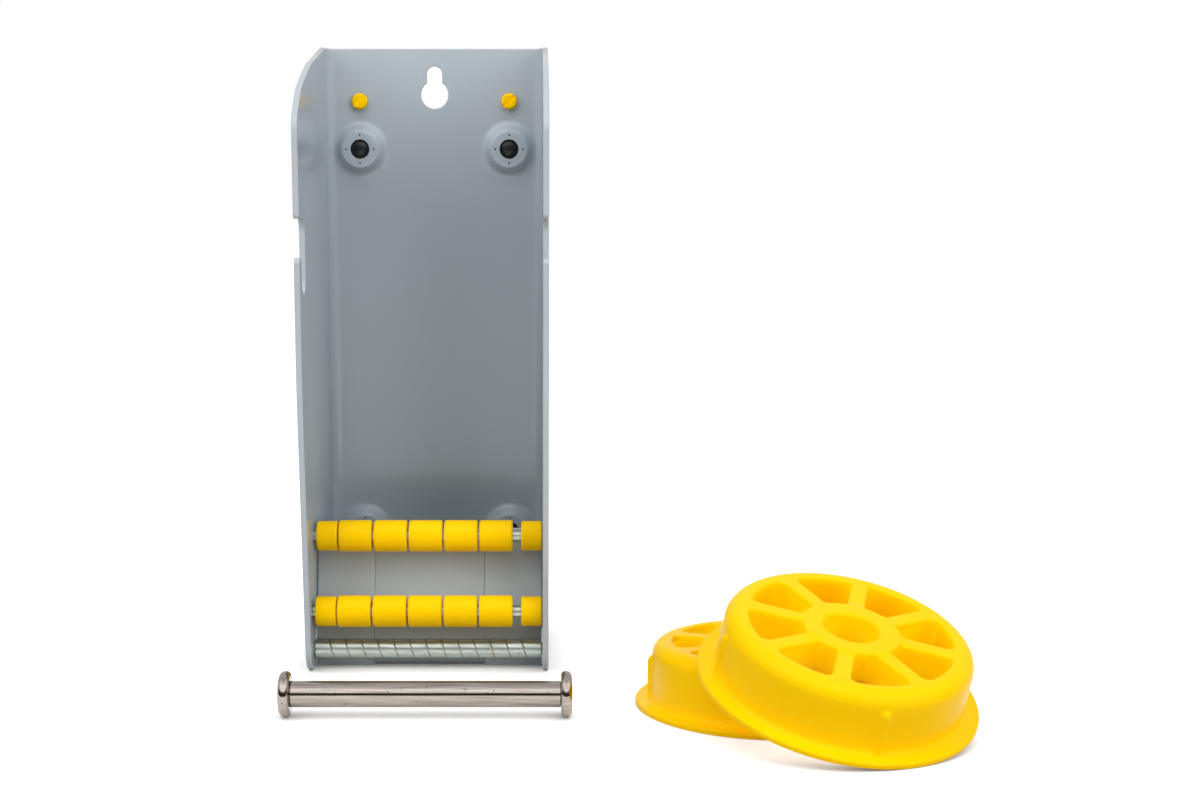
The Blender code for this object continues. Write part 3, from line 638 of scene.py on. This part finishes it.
def makeBar():
    look = barLook
    angles = roundAngles(look["steps"])
    middle = look["shoulder"] - look["edge"]
    x = np.linspace(-middle, middle, round(2 * middle / look["step"]) + 1)
    # radius: the bar's own less a rounded groove wherever x / pitch + angle / turn is near a whole number
    phase = x[:, None] / look["pitch"] + angles[None] / (2 * math.pi)
    off = np.abs(phase - np.round(phase)) * look["pitch"] / (look["groove"] / 2)
    cut = np.clip(1 - off ** 2, 0, 1)
    cut *= np.clip((middle - look["plain"] - np.abs(x)) / look["fade"], 0, 1)[:, None]
    radius = look["radius"] - look["deep"] * cut
    grooved = np.stack([x[:, None] + 0 * radius, -radius * np.cos(angles), radius * np.sin(angles)], -1)
    ends = []
    for side in (-1, 1):
        profile = arcPath([
            (look["radius"], side * middle, 0), (look["radius"], side * look["shoulder"], look["edgeRound"]),
            (look["pin"], side * look["shoulder"], 0), (look["pin"], side * look["end"], look["pinRound"]),
            (0, side * look["end"], 0)])
        ends.append(turned(profile * (-1, 1), angles, "x") * (1, 1, -1))
    mark = np.concatenate([cut.ravel(), *[np.zeros(end[..., 0].size) for end in ends]])
    grids = [(grid, True) for grid in (grooved, *ends)]
    makePiece("peel_bar", "zinc_plate", grids, shift=look["place"], mark=mark)


makeBar()


# spindle: a drawn bar with a turned, round-edged head pressed on each end
spindleLook = {
    "place": (2.9, -128.4, 7.15), "shaft": 4.1, "half": 41.65, "edge": 0.25, "spigot": 2.5, "spigotEnd": 43.4,
    "head": 7.15, "headFrom": 41.7, "headLength": 3.5, "outerRound": 1.8, "innerRound": 1.4,
    "socket": 2.8, "socketGap": 0.3, "socketRound": 0.1, "face": 0.55, "faceRound": 1.0, "dish": 0.12,
    "steps": 128,
}


def makeSpindle():
    look = spindleLook
    angles = roundAngles(look["steps"])
    half, tip = look["half"], look["spigotEnd"]
    bar = arcPath([
        (0, -tip, 0), (look["spigot"], -tip, 0), (look["spigot"], -half, 0),
        (look["shaft"], -half, look["edge"]), (look["shaft"], half, look["edge"]),
        (look["spigot"], half, 0), (look["spigot"], tip, 0), (0, tip, 0)], step=2.0)
    makePiece("spindle_shaft", "bright_steel", [(turned(bar, angles, "x"), True)], shift=look["place"])
    near, far = look["headFrom"], look["headFrom"] + look["headLength"]
    inner = tip + look["socketGap"]
    head = arcPath([
        (0, inner, 0), (look["socket"], inner, 0), (look["socket"], near, look["socketRound"]),
        (look["head"], near, look["innerRound"]), (look["head"], far, look["outerRound"]),
        (look["head"] * look["face"], far, look["faceRound"]), (0, far - look["dish"], 0)], step=0.5, bend=6)
    for name, side in (("left", -1), ("right", 1)):
        grid = turned(head * (1, side), angles, "x")
        makePiece(f"spindle_{name}_head", "bright_steel", [(grid, True)], shift=look["place"])


makeSpindle()
print("bar and spindle made")


# core hubs: a flanged drum, eight softened windows, a collar round the bore, a wall under each spoke and four
# gripping ribs
hubLook = {
    "rear": (110.8, -113.0, 0.0), "spacing": 36.5, "heading": -64.5, "lean": 19.095, "turn": 9.0,
    "drum": 37.3, "drumTop": 36.9, "draft": 0.4, "height": 20.3, "web": 1.8, "opening": 35.1, "wall": 2.2,
    "topRound": 4.5, "footRound": 1.8, "lowRound": 0.2, "sharp": 50,
    "flange": 42.3, "flangeTrim": 0.06, "flangeThick": 1.7, "flangeRound": 0.7, "slack": 0.01,
    "bore": 8.1, "boreRound": 1.1, "tubeWall": 2.2, "tubeEnd": 8.3, "tubeRound": 0.3,
    "windowIn": 14.8, "windowOut": 30.5, "spokes": 8, "spokeHalf": 2.6, "cornerOut": 2.2, "cornerIn": 1.3,
    "edgeRound": 0.8, "collar": 15.6, "collarRise": 0.45, "collarSoft": 0.7,
    "spokeWall": 2.2, "wallFoot": 8.6, "wallEdge": 0.4, "wallSunk": 1.0,
    "ribs": 4, "ribReach": 2.3, "ribFlat": 0.2, "ribRise": 1.2, "ribTop": 15.7, "ribFade": 2.2,
    "sectorAngles": (0, 0.4, 0.8, 1.2, 1.6, 2.0, 2.6, 4, 6.5, 9.5, 12.7, 16, 19.3, 22.5),
    "sideSteps": 14, "boreSteps": 6, "underSteps": 4, "topSteps": 10, "edgeBend": 15,
    "arcPoints": 60, "cornerPoints": 40, "crowd": 1.5, "probe": 0.02,
    "almost": 0.999,    # keeps an arc just short of its neighbour's start
}


def windowHalf(look):
    # half of one window's edge, from the middle of its outer arc to the middle of its inner arc:
    # arc, corner arc, straight spoke side, corner arc, arc; and the lengths to both corners' middles
    share = math.pi / look["spokes"]
    runs = []
    for radius, corner, sign in (
            (look["windowOut"], look["cornerOut"], -1), (look["windowIn"], look["cornerIn"], 1)):
        reach = radius + sign * corner
        side = look["spokeHalf"] + corner
        along = math.sqrt(reach ** 2 - side ** 2)
        lean = math.atan2(side, along)
        arc = np.linspace(share, lean, look["arcPoints"])
        big = np.stack([radius * np.cos(arc), radius * np.sin(arc)], 1)
        # the corner turns from facing the big arc to facing the spoke
        first = lean if sign < 0 else lean - math.pi
        bend = np.linspace(first, -math.pi / 2, look["cornerPoints"])
        small = np.stack([along + corner * np.cos(bend), side + corner * np.sin(bend)], 1)
        runs.append((big, small))
    (outArc, outCorner), (inArc, inCorner) = runs
    path = np.concatenate([outArc, outCorner[1:], inCorner[::-1], inArc[::-1][1:]])
    marks = [len(outArc) - 1 + len(outCorner) // 2, len(outArc) + len(outCorner) - 1 + len(inCorner) // 2]
    spin = np.array([[math.cos(share), -math.sin(share)], [math.sin(share), math.cos(share)]])
    path = path @ spin    # from the spoke's own axis to the window's, which lies along X
    along = np.concatenate([[0], np.cumsum(np.linalg.norm(np.diff(path, axis=0), axis=1))])
    return path, along, along[marks]


def hubWeb(look, centreAngle):
    # one eighth of the web as a ring of points round its window: under face, window wall, rounded edge, top
    path, along, (first, second) = windowHalf(look)
    angles = np.radians(look["sectorAngles"])
    share = math.pi / look["spokes"]
    t1 = np.linspace(0, 1, len(angles))
    t2 = np.linspace(0, 1, look["sideSteps"] + 1)
    t3 = np.linspace(0, 1, look["boreSteps"] + 1)
    ease = (1 - np.cos(math.pi * t2)) / 2
    # points crowd towards the corners: as a power of the share on the arcs, as a cosine along the spoke
    lengths = np.concatenate([
        first * (1 - (1 - t1) ** look["crowd"]), first + (second - first) * ease[1:],
        second + (along[-1] - second) * t3[1:] ** look["crowd"]])
    before, edge, after = [
        np.stack([np.interp(lengths + d, along, path[:, k]) for k in (0, 1)], 1)
        for d in (-look["probe"], 0, look["probe"])]
    run = after - before
    run[0], run[-1] = (0, -1), (0, 1)
    run /= np.linalg.norm(run, axis=1)[:, None]
    out = np.stack([-run[:, 1], run[:, 0]], 1)    # away from the window

    def border(boreEdge):
        # the sector's own border: outer arc, spoke's middle line, arc round the bore
        ring = look["drumTop"] - look["topRound"]
        reach = ring + (boreEdge - ring) * t2[1:]
        back = share * (1 - t3[1:])
        return np.concatenate([
            np.stack([ring * np.cos(angles), -ring * np.sin(angles)], 1),
            np.stack([reach * math.cos(share), -reach * math.sin(share)], 1),
            np.stack([boreEdge * np.cos(back), -boreEdge * np.sin(back)], 1)])

    def lift(flat):
        # the collar's rise, fading over a short slope
        away = np.hypot(flat[..., 0], flat[..., 1])
        return look["collarRise"] * eased(np.clip((look["collar"] - away) / look["collarSoft"], 0, 1))

    def level(flat, z):
        return np.concatenate([flat, (z + np.zeros(len(flat)))[:, None]], 1)

    soft = look["edgeRound"]
    rim = edge + out * soft
    under, above = border(look["bore"] + look["tubeWall"]), border(look["bore"] + look["boreRound"])
    bottom = look["height"] - look["web"]
    wall = look["height"] + lift(rim) - soft
    rows = [level(under + (edge - under) * t, bottom) for t in np.linspace(0, 1, look["underSteps"] + 1)]
    rows += [level(edge, bottom + (wall - bottom) * t) for t in (0.5, 1.0)]
    for a in np.radians(np.arange(look["edgeBend"], 91, look["edgeBend"])):
        rows.append(level(edge + out * soft * (1 - math.cos(a)), wall + soft * math.sin(a)))
    for t in np.linspace(0, 1, look["topSteps"] + 1)[1:]:
        flat = rim + (above - rim) * t
        rows.append(level(flat, look["height"] + lift(flat)))
    half = np.stack(rows)
    mirrored = half[:, ::-1] * (1, -1, 1)
    sector = np.concatenate([half, mirrored[:, 1:]], 1)
    c, s = math.cos(centreAngle), math.sin(centreAngle)
    return sector @ np.array([[c, s, 0], [-s, c, 0], [0, 0, 1]])


def hubDrum(look):
    # the drum's profile turned round, with its radius raised to the rib's tip near each quarter turn
    ring = look["drumTop"] - look["topRound"]
    bottom = look["height"] - look["web"]
    edge = look["flange"] - look["flangeTrim"]    # inside the faceted solid's own reach
    profile = arcPath([
        (ring, look["height"], 0), (look["drumTop"], look["height"], look["topRound"] * look["almost"]),
        (look["drum"], look["flangeThick"], look["footRound"]),
        (edge, look["flangeThick"], look["flangeRound"]), (edge, 0, look["lowRound"]),
        (look["opening"], 0, look["lowRound"]), (look["opening"], bottom, look["topRound"] - look["wall"]),
        (ring, bottom, 0)], step=0.6, bend=8)
    half = np.array(look["sectorAngles"])
    sector = np.concatenate([-half[:0:-1], half[:-1]])
    degrees = (360 / look["spokes"] * np.arange(look["spokes"])[:, None] + sector[None]).ravel()
    grid = turned(profile, np.radians(degrees))
    apart = 360 / look["ribs"]
    off = np.abs((degrees + apart / 2) % apart - apart / 2)
    beside = np.radians(off) * look["drum"]
    near = eased(np.clip((look["ribReach"] - beside) / (look["ribReach"] - look["ribFlat"]), 0, 1))
    radius, height = profile[:, 0], profile[:, 1]
    outside = (height > look["flangeThick"] - look["slack"]) & (radius > look["drumTop"] - look["draft"])
    left = np.clip((look["ribTop"] - height) / look["ribFade"], 0, 1)
    tip = look["drum"] + look["ribRise"] * np.sqrt(1 - (1 - left) ** 2)    # rounded over at the top
    raised = np.where(outside & (left > 0), np.maximum(tip - radius, 0), 0)
    stretch = 1 + raised[:, None] * near[None] / radius[:, None]
    return grid * np.stack([stretch, stretch, np.ones_like(stretch)], -1)


def spokeWall(look, angle):
    # a plate under one spoke: its rounded outline swept outwards from the tube into the drum, lower at the
    # drum's rounded top, and closed to a point at both ends
    half, foot, head = look["spokeWall"] / 2, look["wallFoot"], look["height"] - look["web"] / 2
    loop = arcPath([
        (0, head, 0), (-half, head, 0), (-half, foot, look["wallEdge"]), (half, foot, look["wallEdge"]),
        (half, head, 0), (0, head, 0)], step=4.0, bend=20)[:-1]
    shoulder = look["height"] - look["topRound"]
    reach = np.array([
        look["bore"] + look["tubeWall"] / 2, look["drumTop"] - look["topRound"],
        look["opening"] + look["wallSunk"]])
    share = (np.array([head, head, shoulder]) - foot) / (head - foot)
    away = np.repeat(reach[:, None], len(loop), 1)
    beside = np.repeat(loop[None, :, 0], len(reach), 0)
    height = foot + share[:, None] * (loop[None, :, 1] - foot)
    c, s = math.cos(angle), math.sin(angle)
    rows = np.stack([away * c - beside * s, away * s + beside * c, height], -1)
    ends = rows.mean(1, keepdims=True) + np.zeros_like(rows)
    return np.concatenate([ends[:1], rows, ends[-1:]])


def makeHub(node, turn, shift):
    look = hubLook
    spacing = 2 * math.pi / look["spokes"]
    webs = [(hubWeb(look, spacing * k), True) for k in range(look["spokes"])]
    walls = [(spokeWall(look, spacing * (k + 0.5)), True) for k in range(look["spokes"])]
    boreTop = look["height"] + look["collarRise"]
    tubeOut, bottom = look["bore"] + look["tubeWall"], look["height"] - look["web"]
    bore = arcPath([
        (tubeOut, bottom, 0), (tubeOut, look["tubeEnd"], look["tubeRound"]),
        (look["bore"], look["tubeEnd"], look["tubeRound"]),
        (look["bore"], boreTop, look["boreRound"] * look["almost"]),
        (look["bore"] + look["boreRound"], boreTop, 0)], step=1.0, bend=10)
    around = roundAngles(2 * look["boreSteps"] * look["spokes"])
    grids = [(hubDrum(look), True), (turned(bore, around), True), *webs, *walls]
    makePiece(node, "yellow_plastic", grids, turn, shift, sharp=look["sharp"])


def makeHubs():
    # one hub flat on the floor, the other leaning on it
    look = hubLook
    heading, lean = math.radians(look["heading"]), math.radians(look["lean"])
    rearPlace = np.array(look["rear"])
    frontPlace = rearPlace + look["spacing"] * np.array([math.cos(heading), math.sin(heading), 0])
    frontPlace[2] = look["flange"] * math.sin(lean)
    frontTurn = (
        Matrix.Rotation(heading, 3, "Z") @ Matrix.Rotation(lean, 3, "Y")
        @ Matrix.Rotation(math.radians(look["turn"]) - heading, 3, "Z"))
    makeHub("rear_hub", np.eye(3), rearPlace)
    makeHub("front_hub", np.array(frontTurn), frontPlace)


makeHubs()
print("hubs made")


# studio: a pale floor that shows white but keeps the shadow close to the pieces, white surroundings that are
# dim towards the camera's own side of the room, and large soft lamps; lengths in metres
studioLook = {
    "floor": "#B6B6B4", "floorSize": 30.0, "contact": 0.022, "coverSamples": 8,
    "room": (0.15, 0.42), "backdrop": 0.8, "backFrom": (-0.2, 0.2),
    "front": (0.04, 1.9), "frontFrom": (0.30, 0.52), "topShare": 0.5, "topFrom": (0.80, 0.98),
    "lamps": {
        "overheadSoftbox": {
            "from": (0.00, -0.36, 0.72), "at": (0.02, -0.05, 0.10), "size": (0.9, 0.6), "watts": 3.2},
        "rightSoftbox": {
            "from": (0.90, -0.90, 0.46), "at": (0.05, -0.10, 0.06), "size": (0.9, 0.9), "watts": 8.3},
        "leftSoftbox": {
            "from": (-0.95, -0.80, 0.62), "at": (0.03, -0.08, 0.06), "size": (0.9, 0.9), "watts": 7.6},
        "backSoftbox": {
            "from": (0.20, 1.10, 0.70), "at": (0.05, 0.00, 0.10), "size": (0.9, 0.9), "watts": 5.0},
    },
}


def raySorts(tree):
    # 1 for a ray straight from the camera, and 1 for a ray by way of a mirror or something clear
    rays = addNode(tree, "ShaderNodeLightPath", {}).outputs
    mirrored = addNode(tree, "ShaderNodeMath", {
        0: rays["Is Glossy Ray"], 1: rays["Is Transmission Ray"]}, operation="MAXIMUM")
    return rays["Is Camera Ray"], mirrored.outputs[0]


def makeFloor(look):
    half = look["floorSize"] / 2
    mesh = bpy.data.meshes.new("floor")
    corners = [(-half, -half, 0), (half, -half, 0), (half, half, 0), (-half, half, 0)]
    mesh.from_pydata(corners, [], [(0, 1, 2, 3)])
    floor = bpy.data.objects.new("floor", mesh)
    scene.collection.objects.link(floor)
    paper = bpy.data.materials.new("paleFloor")
    paper.use_nodes = True
    tree = paper.node_tree
    tree.nodes.clear()
    direct, mirrored = raySorts(tree)
    seen = addNode(tree, "ShaderNodeMath", {0: direct, 1: mirrored}, operation="MAXIMUM")
    # the glow fades where a piece covers the floor
    cover = addNode(
        tree, "ShaderNodeAmbientOcclusion", {"Distance": look["contact"]}, samples=look["coverSamples"])
    glow = addNode(tree, "ShaderNodeMath", {0: seen.outputs[0], 1: cover.outputs["AO"]}, operation="MULTIPLY")
    matt = addNode(tree, "ShaderNodeBsdfDiffuse", {"Color": linear(look["floor"])})
    light = addNode(tree, "ShaderNodeEmission", {"Color": white, "Strength": glow.outputs[0]})
    both = addNode(tree, "ShaderNodeAddShader", {0: matt.outputs[0], 1: light.outputs[0]})
    addNode(tree, "ShaderNodeOutputMaterial", {"Surface": both.outputs[0]})
    mesh.materials.append(paper)


def makeWorld(look):
    # the camera sees white, mirrors see the front or the backdrop, and everything else is lit by the room
    world = bpy.data.worlds.new("whiteStudio")
    scene.world = world
    world.use_nodes = True
    tree = world.node_tree
    tree.nodes.clear()
    direct, mirrored = raySorts(tree)
    way = addNode(tree, "ShaderNodeSeparateXYZ", {
        0: addNode(tree, "ShaderNodeTexCoord", {}).outputs["Generated"]}).outputs
    room = addNode(tree, "ShaderNodeMapRange", {
        "Value": way["Z"], "To Min": look["room"][0], "To Max": look["room"][1]})
    # the front is dark low down, bright above and dimmer again overhead
    rising = addNode(tree, "ShaderNodeMapRange", {
        "Value": way["Z"], "From Min": look["frontFrom"][0], "From Max": look["frontFrom"][1],
        "To Min": look["front"][0], "To Max": look["front"][1]}, interpolation_type="SMOOTHSTEP")
    top = addNode(tree, "ShaderNodeMapRange", {
        "Value": way["Z"], "From Min": look["topFrom"][0], "From Max": look["topFrom"][1],
        "To Min": 1.0, "To Max": look["topShare"]}, interpolation_type="SMOOTHSTEP")
    front = addNode(tree, "ShaderNodeMath", {
        0: rising.outputs["Result"], 1: top.outputs["Result"]}, operation="MULTIPLY")
    behind = addNode(tree, "ShaderNodeMapRange", {
        "Value": way["Y"], "From Min": look["backFrom"][0], "From Max": look["backFrom"][1]})
    around = addNode(tree, "ShaderNodeMix", {
        mixShare: behind.outputs["Result"],
        valueA: front.outputs[0], valueB: look["backdrop"]}, data_type="FLOAT")
    lit = addNode(tree, "ShaderNodeMix", {
        mixShare: mirrored,
        valueA: room.outputs["Result"], valueB: around.outputs[valueOut]}, data_type="FLOAT")
    strength = addNode(tree, "ShaderNodeMix", {
        mixShare: direct, valueA: lit.outputs[valueOut], valueB: 1.0}, data_type="FLOAT")
    air = addNode(tree, "ShaderNodeBackground", {"Color": white, "Strength": strength.outputs[valueOut]})
    addNode(tree, "ShaderNodeOutputWorld", {"Surface": air.outputs[0]})


def makeLamps(look):
    for name, lamp in look["lamps"].items():
        data = bpy.data.lights.new(name, "AREA")
        data.shape = "RECTANGLE"
        data.size, data.size_y = lamp["size"]
        data.energy = lamp["watts"]
        made = bpy.data.objects.new(name, data)
        scene.collection.objects.link(made)
        made.visible_glossy = False    # mirrored surroundings come from the world alone
        made.location = lamp["from"]
        aim = Vector(lamp["at"]) - Vector(lamp["from"])
        made.rotation_euler = aim.to_track_quat("-Z", "Y").to_euler()


makeFloor(studioLook)
makeWorld(studioLook)
makeLamps(studioLook)


# camera: at the photograph's place, level from side to side and tipped a little down
cameraLook = {
    "from": (0.0366, -0.6541, 0.1446), "pitch": 81.5,
    "lens": 52.5, "sensor": 36.0, "shift": (0.05417, 0.0878),
}
camera = bpy.data.cameras.new("camera")
camera.lens = cameraLook["lens"]
camera.sensor_width = cameraLook["sensor"]
camera.shift_x, camera.shift_y = cameraLook["shift"]
viewer = bpy.data.objects.new("camera", camera)
scene.collection.objects.link(viewer)
viewer.location = cameraLook["from"]
viewer.rotation_euler = (math.radians(cameraLook["pitch"]), 0, 0)
scene.camera = viewer
print("studio and camera ready")
